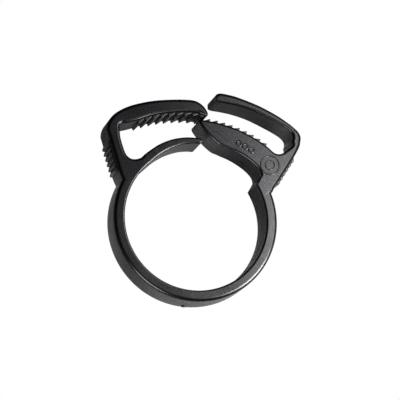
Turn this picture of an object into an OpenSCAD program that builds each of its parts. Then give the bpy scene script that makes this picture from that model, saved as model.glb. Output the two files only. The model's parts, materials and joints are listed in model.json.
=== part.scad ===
// Double-jaw ratchet hose clamp, moulded in one piece of nylon.
//
// The bore axis is +Z and the origin is on it, at the clamp's underside.
// +Y points from the bore to the jaws. The left jaw, on the -X side, is the
// hollow one; the right jaw carries the wedge that slides into it.
//
// The band bends all round its lower part. Two bending places on each side
// stand for that, so each band section ends in a round knuckle.

/* [Bore and band] */
// Radius of the bore that grips the hose
bore_r = 14; // [11:0.5:20]
// Radial thickness of the band
band_t = 2.2; // [1.8:0.1:3]
// Width of the clamp along the hose
width = 7.5; // [5:0.5:12]
// Angle from the bottom of the band to the end of the saddle
saddle_half_angle = 14; // [8:1:20]
// Angle from the bottom of the band to its first bending place
lower_bend_angle = 44; // [36:1:52]
// Angle from the bottom of the band to its second bending place
upper_bend_angle = 86; // [78:1:94]
// Distance around the bore from the top of the bore to the foot of each jaw
jaw_foot_s = 16.2; // [15.6:0.1:16.8]

/* [Teeth] */
// Height of the line of tooth tips above the top of the bore
teeth_lift = 6.44; // [5.6:0.02:7.6]
// Distance from one tooth to the next
tooth_pitch = 1.55; // [1.2:0.05:1.6]
// Height of a tooth
tooth_h = 0.6; // [0.4:0.05:0.8]
// Number of teeth on each jaw
tooth_count = 9; // [6:1:9]
// Gap between the two rows of tooth tips when the arm is relaxed
tooth_gap = 0.1; // [0.05:0.01:0.3]
// How much the left row of teeth opens out for each millimetre of its length
rack_taper = 0.022; // [0.01:0.002:0.04]
// Plain border between the teeth and each side face
rack_inset = 0.5; // [0.3:0.1:1]

/* [Jaws] */
// Thickness of the toothed arm at its tip
arm_t = 2.7; // [2.2:0.1:3]
// Thickness of the post that carries the toothed arm
post_t = 2.7; // [2.2:0.1:3.2]
// Gap between the toothed arm and the backing arm that it slides under
backing_gap = 0.15; // [0.1:0.01:0.4]
// Thickness of the backing arm at its tip
backing_t = 1.95; // [1.5:0.05:2.4]
// Thickness of the backing arm's root
backing_root_t = 1.8; // [1.5:0.05:2.2]
// Depth of the wedge below its tooth tips
wedge_depth = 5.2; // [4.6:0.1:5.4]
// Thickness of the hose tongue at its root
tongue_t = 1.95; // [1.6:0.05:2.1]
// Thickness of the hose tongue at its tip
tongue_tip_t = 1.15; // [0.8:0.05:1.4]
// Height of the tongue's tip above the top of the bore
tongue_lift = 0.98; // [0.8:0.02:1.2]

/* [Grip pads] */
// Number of ridges on each grip pad
ridge_count = 6; // [4:1:6]
// Distance from one grip ridge to the next
ridge_pitch = 1.06; // [0.9:0.02:1.1]
// Height of a grip ridge
ridge_h = 0.4; // [0.2:0.05:0.6]
// Plain border between the ridges and each side face
ridge_inset = 0.7; // [0.4:0.1:1.2]

/* [Marks] */
// Height of the moulded marks
mark_h = 0.12; // [0.05:0.01:0.3]
// Radius of each size pip
pip_r = 0.45; // [0.3:0.05:0.6]
// Number of size pips
pip_count = 3; // [1:1:4]
// Outer radius of the round mould mark
mould_mark_r = 1.9; // [1.2:0.1:2.2]
// Radius of the gate mark under the band
gate_r = 0.5; // [0.3:0.05:0.8]

/* [Fits] */
// Clearance between two sections at a bending place
joint_gap = 0.08; // [0.05:0.01:0.15]
// How far a knuckle lies inside the faces of its section
knuckle_inset = 0.05; // [0.03:0.01:0.1]

/* [Hidden] */

$fn = 96;
black = [0.07, 0.07, 0.075];
far_out = 3 * bore_r;

band_outer_r = bore_r + band_t;
band_mid_r = bore_r + band_t / 2;
band_knuckle_r = band_t / 2 - knuckle_inset;
gap_angle = joint_gap / band_mid_r * 180 / PI;

// The two halves turn about the point midway between their bending places,
// so the teeth lie on circles about that point.
bend_drop = band_mid_r * (cos(lower_bend_angle) + cos(upper_bend_angle)) / 2;
rack_r = bore_r + teeth_lift + bend_drop;
backing_lift = arm_t + tooth_h + backing_gap;

// A point of the jaws: s along the line of tooth tips from the middle
// plane, positive to the right, and h outwards from that line.
function jaw(s, h) = let (a = s / rack_r * 180 / PI)
  [(rack_r + h) * sin(a), (rack_r + h) * cos(a) - bend_drop];

// A point near the bore: s along the bore from its top, positive to the
// right, and h outwards from the bore.
function ring(s, h) = let (a = s / bore_r * 180 / PI)
  [(bore_r + h) * sin(a), (bore_r + h) * cos(a)];

// A point at distance d from p, in direction a measured from +X.
function away(p, a, d) = p + d * [cos(a), sin(a)];

// Centre of the circle through three points.
function arc_centre(p, q, r) =
  let (
    b = q - p,
    c = r - p,
    d = 2 * (b.x * c.y - b.y * c.x)
  )
  p + [c.y * (b * b) - b.y * (c * c), b.x * (c * c) - c.x * (b * b)] / d;

// Points along the circle arc that runs from p to r through q. The arc is
// less than half a circle.
function arc_points(p, q, r, steps = 16) =
  let (
    c = arc_centre(p, q, r),
    a0 = atan2(p.y - c.y, p.x - c.x),
    turn = atan2(r.y - c.y, r.x - c.x) - a0,
    sweep = turn > 180 ? turn - 360 : turn < -180 ? turn + 360 : turn
  )
  [for (i = [0 : steps]) away(c, a0 + sweep * i / steps, norm(p - c))];

// ---- Bending places ----
lower_left_bend = away([0, 0], 270 - lower_bend_angle, band_mid_r);
upper_left_bend = away([0, 0], 270 - upper_bend_angle, band_mid_r);
lower_right_bend = away([0, 0], 270 + lower_bend_angle, band_mid_r);
upper_right_bend = away([0, 0], 270 + upper_bend_angle, band_mid_r);

arm_bend = jaw(-17.2, 1.85);
arm_bend_angle = 20;
tongue_root_s = -10.4;
tongue_bend = ring(tongue_root_s, tongue_t / 2);
backing_bend = jaw(18.4, backing_lift + 0.5);
jaw_foot_angle = jaw_foot_s / bore_r * 180 / PI;

// Height of the tooth tips above the line of tooth tips, on each jaw.
function left_tip_h(s) = tooth_gap - rack_taper * s;
function right_tip_h(s) = -0.008 * s;

// Where each row begins and ends along the line of tooth tips.
row_length = (tooth_count - 1) * tooth_pitch;
left_first_s = 0.1;
left_row_end = left_first_s - row_length - 0.9;
right_first_s = 2.1;
right_row_end = right_first_s + row_length + 0.3;

// Faces that the teeth stand on, from the root of each jaw to its tip.
left_root_line = arc_points(
  jaw(left_row_end, left_tip_h(left_row_end) + tooth_h),
  jaw(left_row_end / 2, left_tip_h(left_row_end / 2) + tooth_h),
  jaw(0.6, left_tip_h(0.6) + tooth_h)
);
right_root_line = arc_points(
  jaw(right_row_end, right_tip_h(right_row_end) - tooth_h),
  jaw(right_row_end / 2, right_tip_h(right_row_end / 2) - tooth_h),
  jaw(0.9, right_tip_h(0.9) - tooth_h)
);

// Skin that joins the teeth of a row.
tooth_skin = 0.08;

module slab(low = 0, high = width) {
  translate([0, 0, low]) linear_extrude(height = high - low) children();
}

// A section of the band between two angles from its bottom, positive to the right.
module band_section(from_angle, to_angle) {
  slab() intersection() {
    difference() {
      circle(r = band_outer_r, $fn = 180);
      circle(r = bore_r, $fn = 180);
    }
    polygon([
      [0, 0],
      away([0, 0], 270 + from_angle, far_out),
      away([0, 0], 270 + (from_angle + to_angle) / 2, far_out),
      away([0, 0], 270 + to_angle, far_out)
    ]);
  }
}

// The round end of a section, at a bending place.
module knuckle(place, r) {
  translate([place.x, place.y, 0]) cylinder(r = r, h = width);
}

// The hollow that a knuckle turns in.
module socket(place, r) {
  translate([place.x, place.y, -1]) cylinder(r = r + joint_gap, h = width + 2);
}

module bore() {
  translate([0, 0, -1]) cylinder(r = bore_r, h = width + 2, $fn = 180);
}

// ---- Band ----
module band_saddle() {
  color(black) band_section(-saddle_half_angle, saddle_half_angle);
}

// Low round stub where the plastic entered the mould.
module gate_mark() {
  stub_z = 1.5;
  color(black) difference() {
    translate([-0.5, -band_outer_r + 0.5, stub_z])
      rotate([90, 0, 0]) cylinder(r = gate_r, h = 0.5 + mark_h, $fn = 32);
    cylinder(r = band_outer_r, h = width, $fn = 180);
  }
}

module band_heel(side) {
  near_angle = side * (saddle_half_angle + gap_angle);
  color(black) union() {
    band_section(min(near_angle, side * lower_bend_angle), max(near_angle, side * lower_bend_angle));
    knuckle(side < 0 ? lower_left_bend : lower_right_bend, band_knuckle_r);
  }
}

module band_lower(side) {
  near_angle = side * lower_bend_angle;
  far_angle = side * upper_bend_angle;
  color(black) difference() {
    union() {
      band_section(min(near_angle, far_angle), max(near_angle, far_angle));
      knuckle(side < 0 ? upper_left_bend : upper_right_bend, band_knuckle_r);
    }
    socket(side < 0 ? lower_left_bend : lower_right_bend, band_knuckle_r);
  }
}

module band_upper(side) {
  near_angle = side * upper_bend_angle;
  far_angle = side * (180 - jaw_foot_angle);
  color(black) difference() {
    band_section(min(near_angle, far_angle), max(near_angle, far_angle));
    socket(side < 0 ? upper_left_bend : upper_right_bend, band_knuckle_r);
  }
}

module band_left_heel() { band_heel(-1); }
module band_right_heel() { band_heel(1); }
module band_left_lower() { band_lower(-1); }
module band_right_lower() { band_lower(1); }
module band_left_upper() { band_upper(-1); }
module band_right_upper() { band_upper(1); }

// ---- Left jaw ----
// Upright between the band and the toothed arm, with the root of the tongue.
module left_post() {
  color(black) difference() {
    slab() polygon(concat(
      [
        ring(-jaw_foot_s, -1),
        ring(-jaw_foot_s, band_t),
        ring(-15.4, 3.4),
        away(arm_bend, 180 + arm_bend_angle, post_t / 2),
        away(arm_bend, arm_bend_angle, post_t / 2)
      ],
      arc_points(ring(-12.5, 4.3), ring(-12.2, 2.5), ring(tongue_root_s - 0.7, tongue_t), 8),
      [ring(tongue_root_s, tongue_t), ring(tongue_root_s, -1)]
    ));
    bore();
    socket(arm_bend, post_t / 2 - knuckle_inset);
    socket(tongue_bend, tongue_t / 2 - knuckle_inset);
  }
}

// Row of stair-shaped ridges for the finger or the pliers. It starts at
// foot and runs in direction a, and its ridges stand out to the side.
module grip_ridges(foot, a, side) {
  valley_h = 0.08;
  slab(ridge_inset, width - ridge_inset) polygon(concat(
    [foot],
    [for (i = [0 : ridge_count - 1]) each [
      away(away(foot, a, i * ridge_pitch), a + side * 90, valley_h),
      away(away(foot, a, (i + 0.15) * ridge_pitch), a + side * 90, ridge_h)
    ]],
    [
      away(away(foot, a, ridge_count * ridge_pitch), a + side * 90, valley_h),
      away(foot, a, ridge_count * ridge_pitch)
    ]
  ));
}

// The pads lie on the straight outer faces of the posts.
left_foot = ring(-15.4, 3.4);
left_rise = away(arm_bend, 180 + arm_bend_angle, post_t / 2) - left_foot;
left_rise_angle = atan2(left_rise.y, left_rise.x);
right_foot = ring(15.15, 4.4);
right_rise = away(backing_bend, 0, backing_root_t / 2) - right_foot;
right_rise_angle = atan2(right_rise.y, right_rise.x);

module left_grip_pad() {
  color(black) grip_ridges(left_foot, left_rise_angle, 1);
}

// Thin springy tongue that carries the bore across the gap in the jaws.
module hose_tongue() {
  color(black) union() {
    slab() polygon(concat(
      arc_points(ring(tongue_root_s, tongue_t), ring(-4.7, 2.3), ring(0, tongue_lift + tongue_tip_t)),
      [ring(0.4, tongue_lift + tongue_tip_t - 0.25), ring(0.4, tongue_lift + 0.3)],
      arc_points(ring(0.1, tongue_lift), ring(-3.9, tongue_lift - 0.22), ring(tongue_root_s, 0))
    ));
    knuckle(tongue_bend, tongue_t / 2 - knuckle_inset);
  }
}

// Thick outer arm of the left jaw, hollow side down.
module toothed_arm() {
  tip_top = tooth_h + arm_t;
  tip_clear = tooth_gap + 0.35;
  color(black) union() {
    slab() polygon(concat(
      [away(arm_bend, arm_bend_angle, post_t / 2)],
      arc_points(jaw(-15.6, 1.5), jaw(-14.9, 1.65), jaw(-14.2, 1.4), 4),
      left_root_line,
      [jaw(0.85, tip_clear + 0.05), jaw(1.25, tip_clear)],
      arc_points(jaw(1.47, tip_clear + 0.35), jaw(0.42, 2.46), jaw(-1.07, tip_top - 0.03), 8),
      arc_points(jaw(-2, tip_top + 0.03), jaw(-6.5, tip_top + 0.27), jaw(-11.2, tip_top + 0.74)),
      arc_points(jaw(-15.6, tip_top + 0.72), jaw(-17.3, 3.6), away(arm_bend, 180 + arm_bend_angle, post_t / 2), 8)
    ));
    knuckle(arm_bend, post_t / 2 - knuckle_inset);
  }
}

// Teeth under the toothed arm. Their steep faces look away from the wedge.
module left_tooth_row() {
  color(black) slab(rack_inset, width - rack_inset) polygon(concat(
    left_root_line,
    [for (i = [0 : tooth_count - 1]) let (s = left_first_s - i * tooth_pitch, tip = left_tip_h(s)) each [
      jaw(min(s + 0.9 * tooth_pitch, 0.55), tip + tooth_h - tooth_skin),
      jaw(s, tip),
      jaw(s - 0.05, tip + tooth_h - tooth_skin)
    ]]
  ));
}

// ---- Right jaw ----
wedge_root_s = 15.9;

// Upright between the band and the backing arm. The end of the wedge's
// slot is in it, and the step that the tongue runs up to.
module right_post() {
  color(black) difference() {
    slab() polygon(concat(
      [
        ring(13.75, -0.5),
        ring(12.8, 1.97),
        jaw(wedge_root_s, -wedge_depth - 0.3),
        jaw(wedge_root_s, -0.72)
      ],
      arc_points(jaw(16.6, -0.85), jaw(17.7, -0.45), jaw(18.15, 0.6), 8),
      [
        away(backing_bend, 180, backing_root_t / 2),
        away(backing_bend, 0, backing_root_t / 2),
        right_foot,
        ring(15.6, 2.9),
        ring(jaw_foot_s, band_t),
        ring(jaw_foot_s, -1)
      ]
    ));
    bore();
    socket(backing_bend, backing_root_t / 2 - knuckle_inset);
  }
}

// Toothed wedge that slides in between the toothed arm and the tongue.
module right_wedge() {
  color(black) slab() polygon(concat(
    [jaw(wedge_root_s, -0.72)],
    right_root_line,
    arc_points(jaw(0.1, -0.5), jaw(-0.25, -0.95), jaw(0, -1.4), 6),
    arc_points(jaw(2.4, -3.85), jaw(3.6, -4.55), jaw(4.8, -4.85), 4),
    arc_points(jaw(6, -4.9), jaw(10.9, -wedge_depth), jaw(wedge_root_s, -wedge_depth - 0.3))
  ));
}

// Teeth on top of the wedge. Their steep faces look away from the arm.
module right_tooth_row() {
  color(black) slab(rack_inset, width - rack_inset) polygon(concat(
    right_root_line,
    [for (i = [0 : tooth_count - 1]) let (s = right_first_s + i * tooth_pitch, tip = right_tip_h(s)) each [
      jaw(max(s - 0.9 * tooth_pitch, 0.95), tip - tooth_h + tooth_skin),
      jaw(s, tip),
      jaw(s + 0.05, tip - tooth_h + tooth_skin)
    ]]
  ));
}

module right_grip_pad() {
  color(black) grip_ridges(right_foot, right_rise_angle, -1);
}

// Smooth outer arm that holds the toothed arm down on the wedge.
module backing_arm() {
  tip_h = backing_lift;
  color(black) union() {
    slab() polygon(concat(
      [away(backing_bend, 180, backing_root_t / 2)],
      arc_points(jaw(17.1, tip_h + 0.9), jaw(16.4, tip_h + 1.25), jaw(15.4, tip_h + 1.05), 6),
      arc_points(jaw(14.4, tip_h + 0.9), jaw(9.5, tip_h + 0.58), jaw(3, tip_h)),
      [jaw(2.45, tip_h + 0.4), jaw(2.45, tip_h + backing_t - 0.6)],
      arc_points(jaw(3.1, tip_h + backing_t), jaw(9.6, tip_h + backing_t + 0.2), jaw(15.3, tip_h + backing_t + 0.36)),
      arc_points(jaw(17.7, tip_h + backing_t + 0.3), jaw(18.7, 4.95), away(backing_bend, 0, backing_root_t / 2), 8)
    ));
    knuckle(backing_bend, backing_root_t / 2 - knuckle_inset);
  }
}

// Raised pips that tell one size of clamp from the next.
module size_pips() {
  first_s = 9.2;
  pip_spacing = 1.6;
  color(black) for (i = [0 : pip_count - 1]) {
    p = jaw(first_s + i * pip_spacing, -3.3);
    translate([p.x, p.y, width]) cylinder(r = pip_r, h = mark_h, $fn = 32);
  }
}

// Plain double ring, raised, where the mould carried its insert.
module mould_mark() {
  line_w = 0.25;
  centre = jaw(17.7, -3.5);
  color(black) translate([centre.x, centre.y, width]) for (r = [mould_mark_r, mould_mark_r / 2])
    difference() {
      cylinder(r = r, h = mark_h);
      translate([0, 0, -1]) cylinder(r = r - line_w, h = mark_h + 2);
    }
}

band_saddle();
gate_mark();
band_left_heel();
band_left_lower();
band_left_upper();
left_post();
left_grip_pad();
hose_tongue();
toothed_arm();
left_tooth_row();
band_right_heel();
band_right_lower();
band_right_upper();
right_post();
right_wedge();
right_tooth_row();
right_grip_pad();
backing_arm();
size_pips();
mould_mark();
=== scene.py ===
import json
import math

import bpy
from mathutils import Matrix, Vector


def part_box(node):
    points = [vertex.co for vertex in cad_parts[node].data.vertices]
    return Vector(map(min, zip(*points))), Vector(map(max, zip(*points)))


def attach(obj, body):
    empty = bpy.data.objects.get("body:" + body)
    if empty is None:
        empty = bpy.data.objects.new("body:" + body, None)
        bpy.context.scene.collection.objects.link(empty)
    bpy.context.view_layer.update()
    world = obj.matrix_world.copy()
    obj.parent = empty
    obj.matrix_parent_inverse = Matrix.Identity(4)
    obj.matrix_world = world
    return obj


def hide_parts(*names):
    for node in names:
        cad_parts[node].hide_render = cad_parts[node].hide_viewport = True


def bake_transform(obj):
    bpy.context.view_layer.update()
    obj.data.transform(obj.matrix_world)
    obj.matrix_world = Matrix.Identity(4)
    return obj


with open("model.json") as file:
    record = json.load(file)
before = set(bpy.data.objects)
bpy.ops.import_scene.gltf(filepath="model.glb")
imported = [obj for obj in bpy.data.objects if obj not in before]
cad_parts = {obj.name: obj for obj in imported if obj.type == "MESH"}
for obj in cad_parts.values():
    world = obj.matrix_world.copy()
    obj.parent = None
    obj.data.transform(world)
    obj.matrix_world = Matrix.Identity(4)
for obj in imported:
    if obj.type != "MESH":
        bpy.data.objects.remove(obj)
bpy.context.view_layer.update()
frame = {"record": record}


# ---- Studio ----
# A pale matt table under soft lamps. It stays a little below the clamp, so
# that the jaws are free to be twisted sideways past each other.
MM = 0.001
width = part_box("band_saddle")[1].z
table_size = 8
table_drop = 5 * MM
table_grey = (0.36, 0.36, 0.36, 1)
table_roughness = 0.9
room_light = 0.006

bpy.ops.object.select_all(action="DESELECT")
bpy.ops.mesh.primitive_grid_add(x_subdivisions=4, y_subdivisions=4, size=table_size,
                                location=(0, 0, -table_drop))
table_top = bpy.context.object
table_top.name = "table_top"

# Seen straight on, the table is plain white. To everything else it is grey,
# so that it throws little light up at the clamp.
table_paint = bpy.data.materials.new("white_table")
table_paint.use_nodes = True
nodes, links = table_paint.node_tree.nodes, table_paint.node_tree.links
paint = nodes["Principled BSDF"]
paint.inputs["Base Color"].default_value = table_grey
paint.inputs["Roughness"].default_value = table_roughness
white = nodes.new("ShaderNodeEmission")
table_ray = nodes.new("ShaderNodeLightPath")
either = nodes.new("ShaderNodeMixShader")
links.new(table_ray.outputs["Is Camera Ray"], either.inputs["Fac"])
links.new(paint.outputs["BSDF"], either.inputs[1])
links.new(white.outputs["Emission"], either.inputs[2])
links.new(either.outputs["Shader"], nodes["Material Output"].inputs["Surface"])
table_top.data.materials.append(table_paint)

# The room is white behind the table, and nearly dark as a source of light.
studio = bpy.data.worlds.new("studio")
studio.use_nodes = True
nodes, links = studio.node_tree.nodes, studio.node_tree.links
nodes["Background"].inputs["Color"].default_value = (1, 1, 1, 1)
room_ray = nodes.new("ShaderNodeLightPath")
brightness = nodes.new("ShaderNodeMapRange")
brightness.inputs["To Min"].default_value = room_light
links.new(room_ray.outputs["Is Camera Ray"], brightness.inputs["Value"])
links.new(brightness.outputs["Result"], nodes["Background"].inputs["Strength"])
bpy.context.scene.world = studio
bpy.context.scene.view_settings.view_transform = "Standard"


def lamp(name, place, target, size, power):
    # A square soft lamp. Its place, what it points at and its size are in mm, its power in W.
    bpy.ops.object.light_add(type="AREA", location=Vector(place) * MM)
    made = bpy.context.object
    made.name = name
    made.data.shape = "SQUARE"
    made.data.size = size * MM
    made.data.energy = power
    made.visible_camera = False
    made.rotation_mode = "QUATERNION"
    made.rotation_quaternion = (Vector(target) - Vector(place)).to_track_quat("-Z", "Y")


lamp("right_box", place=(40, 14, 58), target=(17, 5, 7), size=22, power=0.02)
lamp("right_back_box", place=(34, 40, 60), target=(16, 18, 7), size=20, power=0.006)
lamp("right_front_box", place=(48, -20, 50), target=(10, -8, 7), size=25, power=0.078)
lamp("front_left_box", place=(-60, -100, 60), target=(0, 0, 4), size=60, power=0.095)

# The camera looks down on the lying clamp from a little in front and to the
# left. Its distance, and its aim beside and above the bore's axis as it sees
# them, are in mm.
camera_distance = 428.4
aim_right, aim_up = 0.68, 3.58
towards_camera = Vector((-0.2096, -0.2271, 0.9511)).normalized()
rough_up = Vector((-0.0900, 0.9730, 0.2125))
camera_right = rough_up.cross(towards_camera).normalized()
camera_up = towards_camera.cross(camera_right)
aim = Vector((0, 0, width)) + camera_right * aim_right * MM + camera_up * aim_up * MM
bpy.ops.object.camera_add(location=aim + towards_camera * camera_distance * MM)
camera = bpy.context.object
camera.rotation_mode = "QUATERNION"
camera_axes = Matrix((camera_right, camera_up, towards_camera)).transposed()
camera.rotation_quaternion = camera_axes.to_quaternion()
camera.data.lens = 200
camera.data.sensor_width = 36
camera.data.clip_start = 0.01
bpy.context.scene.camera = camera


# ---- Band ----
# The round springy band, from the saddle opposite the jaws up both sides to
# the posts. It is moulded with the rest in one shot of black nylon. It bends
# as the jaws close. Each side is made as three lengths.
bore_r = frame["record"]["mounts"][0]["dims"]["r_mm"] * MM
band_t = 2.2 * MM
band_step = 1.5           # degrees between one cross edge of the band and the next
post_foot = 16.2          # mm along the bore, from its top to where a post rises
outer_round = 0.7 * MM
inner_round = 0.4 * MM
most_rounding = 0.42      # of a bar's own thickness, so that both roundings fit
rounding_steps = 5
smooth_below = math.radians(32)


def around_bore(angle, r):
    # Angle in degrees from the bottom of the band, positive to the right.
    return Vector((r * math.sin(math.radians(angle)), -r * math.cos(math.radians(angle))))


def edge_between(a, b):
    # A name for the edge between two points, whichever way it runs.
    return frozenset(((round(a.x, 7), round(a.y, 7)), (round(b.x, 7), round(b.y, 7))))


def draw_up(sheet, height):
    # Draws a flat sheet up into a closed solid, and leaves it open for editing.
    bpy.ops.object.select_all(action="DESELECT")
    sheet.select_set(True)
    bpy.context.view_layer.objects.active = sheet
    bpy.ops.object.mode_set(mode="EDIT")
    bpy.ops.mesh.select_all(action="SELECT")
    bpy.ops.mesh.extrude_region_move(TRANSFORM_OT_translate={"value": (0, 0, height)})
    bpy.ops.mesh.select_all(action="SELECT")
    bpy.ops.mesh.normals_make_consistent(inside=False)


def raise_and_round(piece, rounding):
    # Draws a flat sheet up to the clamp's width and rounds the edges of both
    # side faces, by the radius that rounding gives for each. The side faces
    # themselves stay flat and crisp.
    draw_up(piece, width)
    bpy.ops.object.mode_set(mode="OBJECT")
    mesh = piece.data
    weights = mesh.attributes.new("bevel_weight_edge", "FLOAT", "EDGE")
    widest = max(rounding.values())
    for edge in mesh.edges:
        a, b = (mesh.vertices[i].co for i in edge.vertices)
        if abs(a.z - b.z) < 1e-7:
            share = rounding.get(edge_between(a, b), 0) / widest
            weights.data[edge.index].value = share
    soften = piece.modifiers.new("moulded_edges", "BEVEL")
    soften.limit_method = "WEIGHT"
    soften.width = widest
    soften.segments = rounding_steps
    soften.use_clamp_overlap = False
    soften.loop_slide = False
    bpy.ops.object.modifier_apply(modifier=soften.name)
    bpy.ops.object.shade_smooth_by_angle(angle=smooth_below)
    for face in mesh.polygons:
        if abs(face.normal.z) > 0.9999:
            for i in face.loop_indices:
                mesh.edges[mesh.loops[i].edge_index].use_edge_sharp = True
    flat = piece.modifiers.new("flat_faces", "WEIGHTED_NORMAL")
    flat.weight = 100
    flat.keep_sharp = True
    bpy.ops.object.modifier_apply(modifier=flat.name)


def strip(name, inner, outer, roundings=(inner_round, outer_round, 0)):
    # A bar between an inner and an outer line of points. The roundings are
    # those of its inner edges, its outer edges and the edges of its far end.
    n = len(inner)
    bpy.ops.object.select_all(action="DESELECT")
    bpy.ops.mesh.primitive_grid_add(x_subdivisions=n - 1, y_subdivisions=1, size=1)
    piece = bpy.context.object
    piece.name = piece.data.name = name
    for i in range(n):
        piece.data.vertices[i].co = (*inner[i], 0)
        piece.data.vertices[n + i].co = (*outer[i], 0)
    rounding = {}
    for i in range(n - 1):
        thinnest = min((outer[k] - inner[k]).length for k in (i, i + 1))
        most = most_rounding * thinnest
        rounding[edge_between(inner[i], inner[i + 1])] = min(roundings[0], most)
        rounding[edge_between(outer[i], outer[i + 1])] = min(roundings[1], most)
    rounding[edge_between(inner[-1], outer[-1])] = roundings[2]
    raise_and_round(piece, rounding)
    return piece


def band_length(name, from_angle, to_angle):
    # One length of the band, between two angles.
    steps = round(abs(to_angle - from_angle) / band_step)
    angles = [from_angle + (to_angle - from_angle) * i / steps for i in range(steps + 1)]
    inner = [around_bore(a, bore_r) for a in angles]
    outer = [around_bore(a, bore_r + band_t) for a in angles]
    piece = strip(name, inner, outer)
    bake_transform(piece)
    return piece


# Each length runs between its two angles.
near_end, middle_end = 29, 65
top_end = 180 - math.degrees(post_foot * MM / bore_r)
band_pieces = []
for side, word in ((-1, "left"), (1, "right")):
    near = band_length(f"band_{word}_near", 0, side * near_end)
    middle = band_length(f"band_{word}_middle", side * near_end, side * middle_end)
    top = band_length(f"band_{word}_top", side * middle_end, side * top_end)
    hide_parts("band_saddle", f"band_{word}_heel")
    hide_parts(f"band_{word}_lower")
    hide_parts(f"band_{word}_upper")
    band_pieces += [near, middle, top]


def started_group(name, inputs, outputs):
    # A node group with named number sockets, and the node that puts them out.
    group = bpy.data.node_groups.new(name, "ShaderNodeTree")
    for socket, value in inputs:
        made = group.interface.new_socket(name=socket, in_out="INPUT",
                                          socket_type="NodeSocketFloat")
        made.default_value = value
    for socket in outputs:
        group.interface.new_socket(name=socket, in_out="OUTPUT", socket_type="NodeSocketFloat")
    return group, group.nodes.new("NodeGroupOutput")


def noise(tree, detail, roughness=0.5):
    # A noise texture that stays with the moulding as it moves.
    where = tree.nodes.new("ShaderNodeTexCoord")
    texture = tree.nodes.new("ShaderNodeTexNoise")
    texture.inputs["Detail"].default_value = detail
    texture.inputs["Roughness"].default_value = roughness
    tree.links.new(where.outputs["Object"], texture.inputs["Vector"])
    return texture


def mapped(tree, value, source, onto=(0, 1)):
    # Takes a value's source range onto another range.
    node = tree.nodes.new("ShaderNodeMapRange")
    node.inputs["From Min"].default_value, node.inputs["From Max"].default_value = source
    node.inputs["To Min"].default_value, node.inputs["To Max"].default_value = onto
    tree.links.new(value, node.inputs["Value"])
    return node.outputs["Result"]


def combined(tree, operation, *values):
    # One value worked out from others by a Math node's operation.
    node = tree.nodes.new("ShaderNodeMath")
    node.operation = operation
    for i, value in enumerate(values):
        tree.links.new(value, node.inputs[i])
    return node.outputs["Value"]


def grain_group():
    # Fine moulded grain: a height for Bump, and a mask of duller patches.
    group, out = started_group("moulded_grain", (("Grain Scale", 4200.0), ("Patch Scale", 160.0)),
                               ("Height", "Patches"))
    into = group.nodes.new("NodeGroupInput")
    bumps = noise(group, detail=5.0, roughness=0.72)
    patches = noise(group, detail=4.0)
    group.links.new(into.outputs["Grain Scale"], bumps.inputs["Scale"])
    group.links.new(into.outputs["Patch Scale"], patches.inputs["Scale"])
    group.links.new(bumps.outputs["Fac"], out.inputs["Height"])
    group.links.new(patches.outputs["Fac"], out.inputs["Patches"])
    return group


def wear_group():
    # Mask of rubbed edges: convex edges, broken up by noise.
    group, out = started_group("rubbed_edges", (("Amount", 0.6),), ("Mask",))
    into = group.nodes.new("NodeGroupInput")
    shape = group.nodes.new("ShaderNodeNewGeometry")
    convex = mapped(group, shape.outputs["Pointiness"], (0.52, 0.64))
    breaks = noise(group, detail=4.0)
    breaks.inputs["Scale"].default_value = 900.0
    broken = combined(group, "MULTIPLY", convex, breaks.outputs["Fac"])
    amount = combined(group, "MULTIPLY", broken, into.outputs["Amount"])
    group.links.new(amount, out.inputs["Mask"])
    return group


def roundings_polish_and_shade_group():
    # Mask of the smooth roundings, which face neither straight up or down, as
    # the side faces do, nor straight out, as the walls do. It makes them
    # smoother, and it also carries a painted shade that darkens their colour.
    group, out = started_group("roundings_polish_and_painted_shade", (), ("Mask",))
    where = group.nodes.new("ShaderNodeTexCoord")
    parts = group.nodes.new("ShaderNodeSeparateXYZ")
    group.links.new(where.outputs["Normal"], parts.inputs["Vector"])
    upright = combined(group, "ABSOLUTE", parts.outputs["Z"])
    off_wall = mapped(group, upright, (0.03, 0.15))
    off_face = mapped(group, upright, (0.99, 0.93))
    group.links.new(combined(group, "MULTIPLY", off_wall, off_face), out.inputs["Mask"])
    return group


grain = grain_group()
rubbed = wear_group()
roundings_polish_and_shade = roundings_polish_and_shade_group()
nylon_ior = 1.53
lighter_patches = 1.35               # times the colour of the others
# Painted shade: a near-black colour for the roundings, standing in for the dark reflections along
# them.
rounding_painted_shade_colour = (0.0015, 0.0015, 0.002, 1)
rounding_roughness = 0.26
middle_height = 0.5                  # of the grain, where it fades into a rounding
bump_strength = 0.9


def placed(tree, group):
    # A node group's own node in a material.
    node = tree.nodes.new("ShaderNodeGroup")
    node.node_tree = group
    return node


def mixed(tree, mask, a, b):
    # a where the mask is 0 and b where it is 1. b is a number or a colour,
    # and a is the same or a socket that gives one.
    node = tree.nodes.new("ShaderNodeMix")
    if isinstance(b, tuple):
        node.data_type = "RGBA"
    if isinstance(a, bpy.types.NodeSocket):
        tree.links.new(a, node.inputs["A"])
    else:
        node.inputs["A"].default_value = a
    node.inputs["B"].default_value = b
    tree.links.new(mask, node.inputs["Factor"])
    return node.outputs["Result"]


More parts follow.
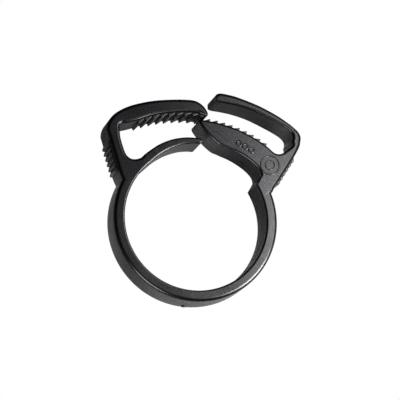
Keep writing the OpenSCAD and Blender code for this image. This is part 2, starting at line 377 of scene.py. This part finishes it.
def nylon(name, colour, rubbed_colour, roughness, wear, grain_depth, grain_scale):
    # Moulded nylon: a grained skin with duller patches, rubbed lighter along
    # its convex edges, and smoother on the roundings, where a painted shade
    # also makes the colour near black.
    material = bpy.data.materials.new(name)
    material.use_nodes = True
    tree = material.node_tree
    shader = tree.nodes["Principled BSDF"]
    shader.inputs["IOR"].default_value = nylon_ior
    skin = placed(tree, grain)
    skin.inputs["Grain Scale"].default_value = grain_scale
    edges = placed(tree, rubbed)
    edges.inputs["Amount"].default_value = wear
    rounded = placed(tree, roundings_polish_and_shade).outputs["Mask"]

    lighter = tuple(c * lighter_patches for c in colour)
    patchy = mixed(tree, skin.outputs["Patches"], (*colour, 1), (*lighter, 1))
    worn = mixed(tree, edges.outputs["Mask"], patchy, (*rubbed_colour, 1))
    # The roundings get the painted shade colour in place of the skin's own colour.
    tree.links.new(mixed(tree, rounded, worn, rounding_painted_shade_colour), shader.inputs["Base Color"])

    duller = mapped(tree, skin.outputs["Patches"], (0.3, 0.7),
                    (roughness - 0.05, roughness + 0.07))
    speckle = mapped(tree, skin.outputs["Height"], (0.38, 0.62), (0.1, -0.1))
    uneven = combined(tree, "ADD", duller, speckle)
    smoother = mixed(tree, rounded, uneven, rounding_roughness)
    tree.links.new(smoother, shader.inputs["Roughness"])

    bump = tree.nodes.new("ShaderNodeBump")
    bump.inputs["Distance"].default_value = grain_depth
    bump.inputs["Strength"].default_value = bump_strength
    height = mixed(tree, rounded, skin.outputs["Height"], middle_height)
    tree.links.new(height, bump.inputs["Height"])
    tree.links.new(bump.outputs["Normal"], shader.inputs["Normal"])
    return material


black_nylon = nylon("black_nylon", colour=(0.008, 0.008, 0.010),
                    rubbed_colour=(0.05, 0.05, 0.055), roughness=0.34, wear=0.6,
                    grain_depth=0.03 * MM, grain_scale=3600.0)
for piece in band_pieces:
    piece.data.materials.append(black_nylon)


# ---- Left post ----
# The upright of the hollow jaw. It rises from the band, and its slot side
# curves into the root of the thin tongue. Same nylon, same shot.
teeth_r = 26.398 * MM        # radius of the line of tooth tips
turning_drop = 5.958 * MM    # how far its centre is below the bore's centre
slot_round = 0.6 * MM
tongue_root = -10.4          # mm along the bore from its top
tongue_root_t = 1.95         # mm, thickness there
post_steps = 26


def jaw(s, h):
    # s along the line of tooth tips from the middle, positive to the right,
    # and h outwards from that line, both in mm.
    r, a = teeth_r + h * MM, s * MM / teeth_r
    return Vector((r * math.sin(a), r * math.cos(a) - turning_drop))


def ring(s, h):
    # s along the bore from its top, positive to the right, and h outwards
    # from it, both in mm.
    r, a = bore_r + h * MM, s * MM / bore_r
    return Vector((r * math.sin(a), r * math.cos(a)))


def at(x, y):
    # A point in mm from the bore's centre.
    return Vector((x * MM, y * MM))


def flowing(points, count):
    # count points spaced evenly along a smooth line through points.
    ends = [points[0] * 2 - points[1]] + list(points) + [points[-1] * 2 - points[-2]]
    fine = []
    for i in range(1, len(ends) - 2):
        a, b, c, d = ends[i - 1:i + 3]
        for k in range(24):
            t = k / 24
            fine.append((b * 2 + (c - a) * t + (a * 2 - b * 5 + c * 4 - d) * t * t
                         + (b * 3 - a - c * 3 + d) * t * t * t) * 0.5)
    fine.append(points[-1].copy())
    along = [0.0]
    for p, q in zip(fine, fine[1:]):
        along.append(along[-1] + (q - p).length)
    even, j = [], 0
    for i in range(count):
        want = along[-1] * i / (count - 1)
        while j < len(along) - 2 and along[j + 1] < want:
            j += 1
        share = (want - along[j]) / max(along[j + 1] - along[j], 1e-12)
        even.append(fine[j].lerp(fine[j + 1], min(max(share, 0), 1)))
    return even


def bore_line(from_s, to_s, count):
    # count points along the bore between two places on it, in mm from its top.
    return [ring(from_s + (to_s - from_s) * i / (count - 1), 0) for i in range(count)]


def cut_sheet(points, height=0):
    # A flat sheet whose outline is the points, at a height above the underside.
    bpy.ops.object.select_all(action="DESELECT")
    bpy.ops.mesh.primitive_circle_add(vertices=len(points), radius=1, fill_type="NGON")
    sheet = bpy.context.object
    for vertex, p in zip(sheet.data.vertices, points):
        vertex.co = (*p, height)
    return sheet


def plate(name, lines):
    # A solid with flat faces. Each line is (points, rounding of its edges),
    # and the lines run round it, each from the last point of the one before.
    outline, rounds = [], []
    for points, r in lines:
        outline += points[:-1]
        rounds += [r] * (len(points) - 1)
    piece = cut_sheet(outline)
    piece.name = piece.data.name = name
    corners = zip(outline, outline[1:] + outline[:1])
    raise_and_round(piece, {edge_between(a, b): r for (a, b), r in zip(corners, rounds)})
    return piece


arm_root_out = at(-18.42, 16.03)
arm_root_in = at(-15.88, 16.96)
left_foot_in = ring(-post_foot, 0)
left_foot_out = ring(-post_foot, band_t / MM)
tongue_root_in = ring(tongue_root, 0)
tongue_root_out = ring(tongue_root, tongue_root_t)
slot_side = flowing([
    tongue_root_out, ring(-11.2, 1.92), at(-12.6, 10.72), at(-13.5, 10.85),
    at(-14.35, 11.6), at(-15.05, 13.2), at(-15.6, 14.9), arm_root_in], post_steps)
finger_side = flowing([
    arm_root_out, at(-17.9, 14.6), at(-17.1, 12.3), at(-16.25, 9.9), at(-15.65, 8.2),
    at(-15.12, 7.0), left_foot_out], post_steps)
left_post = plate("left_post", [
    (bore_line(-post_foot, tongue_root, 16), inner_round),
    ([tongue_root_in, tongue_root_out], 0),
    (slot_side, slot_round),
    ([arm_root_in, arm_root_out], 0),
    (finger_side, outer_round),
    ([left_foot_out, left_foot_in], 0),
])
left_post.data.materials.append(black_nylon)
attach(left_post, "left_jaw")
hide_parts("left_post")


# ---- Toothed arm ----
# The thick arm that arches over the wedge, round nosed, with flat faces and
# full rounded edges. It springs up over each tooth and is pressed down.
nose_round = 0.35 * MM
corner_steps = 18
arm_steps = 62


def around_corner(points, share):
    # Points along a smooth line, closer together round the corner that is its
    # first share, so that both sides of an arm turn it in step.
    fine = flowing(points, 800)
    last = len(fine) - 1
    places = [share * i / corner_steps for i in range(corner_steps)]
    rest = arm_steps - corner_steps
    places += [share + (1 - share) * i / rest for i in range(rest + 1)]
    return [fine[round(last * t)] for t in places]


arm_inner = around_corner([
    arm_root_in, at(-15.78, 17.3), at(-15.35, 17.62), at(-14.5, 17.72),
    jaw(-12.6, 0.99), jaw(-9.5, 0.92), jaw(-6.5, 0.85), jaw(-3, 0.77),
    jaw(-0.9, 0.68), jaw(0.3, 0.55)], 0.115)
arm_outer = around_corner([
    arm_root_out, at(-18.38, 16.9), at(-17.95, 18.1), at(-16.85, 19.5),
    at(-14.9, 20.85), at(-12.3, 21.95), at(-9, 22.87), at(-5.3, 23.45),
    at(-2.6, 23.68), at(-1.2, 23.62), at(-0.2, 23.25), at(0.65, 22.62),
    at(1.2, 21.95), at(1.5, 21.35), at(1.48, 20.9), jaw(1.15, 0.24)], 0.26)
toothed_arm = strip("toothed_arm", arm_inner, arm_outer, (slot_round, outer_round, nose_round))
toothed_arm.data.materials.append(black_nylon)
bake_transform(toothed_arm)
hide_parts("toothed_arm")


# ---- Left teeth ----
# Nine small ratchet teeth under the arm, sloping towards the nose with a
# steep back. They stop short of both side faces. One is made, then copied.
tooth_count = 9
tooth_pitch = 1.55
tooth_border = 0.8 * MM
tooth_edge = 0.05 * MM
tooth_profile = [(-0.05, 0.9), (-0.05, 0.58), (0, 0), (0.12, 0.02), (1.4, 0.58), (1.4, 0.9)]
first_left_tip = 0.1      # mm along the line of tips
left_lift = 0.1           # mm that the row clears that line at its middle
left_slope = 0.022        # of the row against that line


def prism(points, border, edge):
    # One closed prism across the jaw, a border short of both side faces, with
    # its sharp edges broken a little.
    piece = cut_sheet(points, border)
    draw_up(piece, width - 2 * border)
    bpy.ops.mesh.bevel(offset=edge, segments=2)
    bpy.ops.object.mode_set(mode="OBJECT")
    bpy.ops.object.shade_smooth_by_angle(angle=smooth_below)
    return piece


def joined(parts, name):
    # One piece made of several, under a new name.
    bpy.ops.object.select_all(action="DESELECT")
    for part in parts:
        part.select_set(True)
    bpy.context.view_layer.objects.active = parts[0]
    bpy.ops.object.join()
    made = bpy.context.object
    made.name = made.data.name = name
    return made


def row(first, moves, name):
    # Copies of first, each with its own mesh moved by one of the moves,
    # joined into one piece.
    copies = []
    for move in moves:
        copy = first.copy()
        copy.data = first.data.copy()
        copy.data.transform(move)
        bpy.context.scene.collection.objects.link(copy)
        copies.append(copy)
    bpy.data.objects.remove(first)
    return joined(copies, name)


def tip_to(s, h):
    # Moves a tooth's tip from the middle of the line of tips to s along it
    # and h outwards from it, both in mm.
    centre = Matrix.Translation((0, -turning_drop, 0))
    turn = Matrix.Rotation(-s * MM / teeth_r, 4, "Z")
    return centre @ turn @ Matrix.Translation((0, h * MM, 0)) @ centre.inverted()


left_tips = [first_left_tip - i * tooth_pitch for i in range(tooth_count)]
lead_tooth = prism([jaw(s, h) for s, h in tooth_profile], tooth_border, tooth_edge)
left_teeth = row(lead_tooth, [tip_to(s, left_lift - left_slope * s) for s in left_tips],
                 "left_teeth")
toothed_nylon = nylon("black_nylon_teeth", colour=(0.014, 0.014, 0.016),
                      rubbed_colour=(0.09, 0.09, 0.095), roughness=0.34, wear=0.8,
                      grain_depth=0.006 * MM, grain_scale=5200.0)
left_teeth.data.materials.append(toothed_nylon)
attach(left_teeth, "left_arm")
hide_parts("left_tooth_row")


# ---- Hose tongue ----
# The thin springy lip that carries the bore across the gap under the wedge.
# It tapers to a blunt end, and the wedge pushes it in as it passes.
tongue_steps = 40
tongue_round = 0.4 * MM
tongue_tip_round = 0.15 * MM
tongue_inner = flowing([
    tongue_root_in, ring(-8, 0.28), ring(-5.5, 0.58), ring(-3, 0.84), ring(-1, 0.96),
    at(0.1, 14.98), at(0.48, 15.3)], tongue_steps)
tongue_outer = flowing([
    tongue_root_out, ring(-9, 2.0), ring(-7, 2.18), ring(-4.7, 2.28), ring(-2.5, 2.25),
    ring(-0.6, 2.15), at(0.25, 16.08), at(0.5, 15.85)], tongue_steps)
hose_tongue = strip("hose_tongue", tongue_inner, tongue_outer,
                    (inner_round, tongue_round, tongue_tip_round))
hose_tongue.data.materials.append(black_nylon)
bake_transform(hose_tongue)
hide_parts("hose_tongue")


# ---- Right jaw ----
# Post and wedge in one block. The wedge's nose is bevelled back on its
# under side, and a step under its root takes the end of the tongue.
wedge_round = 0.5 * MM
step_round = 0.25 * MM
step_s = 13.75               # mm along the bore from its top
backing_root_in = at(18.58, 17.31)
backing_root_out = at(20.38, 17.31)
right_foot_in = ring(post_foot, 0)
right_foot_out = ring(post_foot, band_t / MM)
step_top = at(12.62, 9.68)
bevel_start = at(4.7, 14.95)
nose_tip = at(-0.1, 19.05)
first_root = jaw(0.9, -0.6)
last_root = jaw(14.2, -0.73)
under_wedge = flowing([
    step_top, at(12.2, 10.8), at(11.0, 12.0), at(9.3, 13.1), at(7.4, 14.02),
    at(5.8, 14.55), bevel_start], 22)
nose_bevel = flowing([
    bevel_start, at(4.0, 15.15), at(3.3, 15.6), at(2.7, 16.05), at(2.05, 16.6),
    at(0.6, 18.15), nose_tip], 14)
wedge_nose = flowing([nose_tip, at(-0.25, 19.5), at(0.05, 19.9), first_root], 8)
under_teeth = flowing([first_root, jaw(4, -0.63), jaw(8, -0.66), jaw(12, -0.7), last_root], 30)
slot_end = flowing([
    last_root, jaw(15.4, -0.78), jaw(16.4, -0.85), jaw(17.3, -0.62), jaw(17.95, 0.1),
    jaw(18.15, 1.0), at(18.68, 16.4), backing_root_in], 24)
right_finger_side = flowing([
    backing_root_out, at(20.25, 16.5), at(19.7, 15.2), at(18.6, 13.1), at(17.3, 10.85),
    at(16.1, 8.75), at(15.45, 7.75), at(15.15, 6.9), right_foot_out], 34)
right_jaw = plate("right_jaw", [
    (bore_line(post_foot, step_s, 8), inner_round),
    ([ring(step_s, 0), at(11.95, 8.3), step_top], step_round),
    (under_wedge, wedge_round),
    (nose_bevel, wedge_round),
    (wedge_nose, wedge_round),
    (under_teeth, wedge_round),
    (slot_end, wedge_round),
    ([backing_root_in, backing_root_out], 0),
    (right_finger_side, outer_round),
    ([right_foot_out, right_foot_in], 0),
])
right_jaw.data.materials.append(black_nylon)
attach(right_jaw, "right_jaw")
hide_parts("right_post", "right_wedge")


# ---- Right teeth ----
# Nine teeth along the top of the wedge. They are the arm's teeth turned half
# round, so that the two rows lock, and they are part of the same moulding.
first_right_tip = 2.1        # mm along the line of tips
right_slope = 0.008          # of the row against that line
right_tips = [first_right_tip + i * tooth_pitch for i in range(tooth_count)]
wedge_tooth = prism([jaw(-s, -h) for s, h in reversed(tooth_profile)], tooth_border, tooth_edge)
right_teeth = row(wedge_tooth, [tip_to(s, -right_slope * s) for s in right_tips], "right_teeth")
right_teeth.data.materials.append(toothed_nylon)
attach(right_teeth, "right_jaw")
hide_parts("right_tooth_row")


# ---- Backing arm ----
# The smooth arm that the toothed arm slides under. It turns over the post in
# a wide corner and ends square, with its corners rounded.
backing_end_round = 0.4 * MM
backing_inner = around_corner([
    backing_root_in, at(18.74, 17.95), at(18.64, 18.6), at(18.22, 19.2), at(17.4, 19.8),
    at(16, 20.5), at(13.7, 21.5), at(10.7, 22.62), at(7.7, 23.32), at(5.2, 23.62),
    at(3.6, 23.72), at(3.0, 23.9)], 0.16)
backing_outer = around_corner([
    backing_root_out, at(20.42, 18.3), at(20.0, 19.2), at(19.0, 20.05), at(17.6, 21.0),
    at(15.2, 22.38), at(11.4, 24.0), at(7.3, 25.2), at(5.2, 25.55), at(3.9, 25.65),
    at(3.1, 25.4), at(2.78, 24.8)], 0.21)
backing_arm = strip("backing_arm", backing_inner, backing_outer,
                    (wedge_round, outer_round, backing_end_round))
backing_arm.data.materials.append(black_nylon)
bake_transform(backing_arm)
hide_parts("backing_arm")


# ---- Grip ridges ----
# Six stair-shaped ridges on the outside of each post, where fingers or pliers
# squeeze the clamp shut. They are moulded with the posts, and each is sunk a
# little into its post. One is made for each side, then copied along it.
ridge_count = 6
ridge_pitch = 1.06           # mm
ridge_border = 0.6 * MM
ridge_edge = 0.07 * MM
ridge_profile = [(0, -0.5), (0, 0.03), (0.16, 0.42), (0.42, 0.42),
                 (ridge_pitch, 0.03), (ridge_pitch, -0.5)]


def ridges(name, foot, top, side, body, node):
    # The profile is (along the post, out from it), in mm from the foot.
    rise = (top - foot).normalized()
    out = Vector((-rise.y, rise.x)) * side
    corners = [foot + rise * along * MM + out * away * MM for along, away in ridge_profile]
    ridge = prism(corners, ridge_border, ridge_edge)
    steps = [Matrix.Translation((rise * ridge_pitch * MM * i).to_3d())
             for i in range(ridge_count)]
    made = row(ridge, steps, name)
    made.data.materials.append(toothed_nylon)
    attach(made, body)
    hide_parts(node)


ridges("left_ridges", at(-15.65, 8.2), at(-17.9, 14.6), 1, "left_jaw", "left_grip_pad")
ridges("right_ridges", at(16.0, 8.6), at(19.5, 14.8), -1, "right_jaw", "right_grip_pad")


# ---- Moulded marks ----
# Three pips that tell the size, and a plain double ring where the mould has
# its insert. They stand just proud of the wedge's side face, in one with it.
mark_height = 0.8            # of a full round line
mark_centre = jaw(17.7, -3.5)
marks_nylon = nylon("black_nylon_marks", colour=(0.012, 0.012, 0.014),
                    rubbed_colour=(0.05, 0.05, 0.055), roughness=0.30, wear=0.5,
                    grain_depth=0.004 * MM, grain_scale=5200.0)


def ring_mark(centre, r, line):
    # A raised round line of radius r, line wide to each side.
    bpy.ops.object.select_all(action="DESELECT")
    bpy.ops.mesh.primitive_torus_add(major_radius=r, minor_radius=line, major_segments=72,
                                     minor_segments=10, location=(*centre, width))
    piece = bpy.context.object
    bpy.ops.object.transform_apply(location=True, rotation=False, scale=False)
    bpy.ops.object.mode_set(mode="EDIT")
    bpy.ops.mesh.select_all(action="SELECT")
    bpy.ops.transform.resize(value=(1, 1, mark_height), center_override=(*centre, width))
    bpy.ops.object.mode_set(mode="OBJECT")
    bpy.ops.object.shade_smooth()
    return piece


mould_mark = joined([ring_mark(mark_centre, 1.86 * MM, 0.15 * MM),
                     ring_mark(mark_centre, 0.9 * MM, 0.14 * MM)], "mould_mark")
mould_mark.data.materials.append(marks_nylon)
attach(mould_mark, "right_jaw")
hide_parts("mould_mark")

size_pips = joined([ring_mark(jaw(9.2 + 1.6 * i, -3.3), 0.5 * MM, 0.2 * MM) for i in range(3)],
                   "size_pips")
size_pips.data.materials.append(marks_nylon)
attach(size_pips, "right_jaw")
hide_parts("size_pips")


# ---- Gate scar ----
# The low round scar under the band where the nylon came into the mould. It
# is left by the runner that was cut off, so it is paler and rougher.
scar_r = 0.5 * MM
scar_depth = 0.3 * MM
scar_edge = 0.06 * MM
scar_place = (-0.5 * MM, -bore_r - band_t - 0.02 * MM, 1.5 * MM)
bpy.ops.object.select_all(action="DESELECT")
bpy.ops.mesh.primitive_cylinder_add(vertices=40, radius=scar_r, depth=scar_depth,
                                    rotation=(math.pi / 2, 0, 0), location=scar_place)
gate_scar = bpy.context.object
gate_scar.name = gate_scar.data.name = "gate_scar"
bpy.ops.object.transform_apply(location=True, rotation=True, scale=False)
bpy.ops.object.mode_set(mode="EDIT")
bpy.ops.mesh.select_all(action="SELECT")
bpy.ops.mesh.bevel(offset=scar_edge, segments=2)
bpy.ops.mesh.select_all(action="SELECT")
bpy.ops.mesh.normals_make_consistent(inside=False)
bpy.ops.object.mode_set(mode="OBJECT")
bpy.ops.object.shade_smooth_by_angle(angle=smooth_below)
scar_nylon = nylon("black_nylon_gate", colour=(0.02, 0.02, 0.022),
                   rubbed_colour=(0.08, 0.08, 0.085), roughness=0.55, wear=0.8,
                   grain_depth=0.02 * MM, grain_scale=6500.0)
gate_scar.data.materials.append(scar_nylon)
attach(gate_scar, "saddle")
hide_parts("gate_mark")
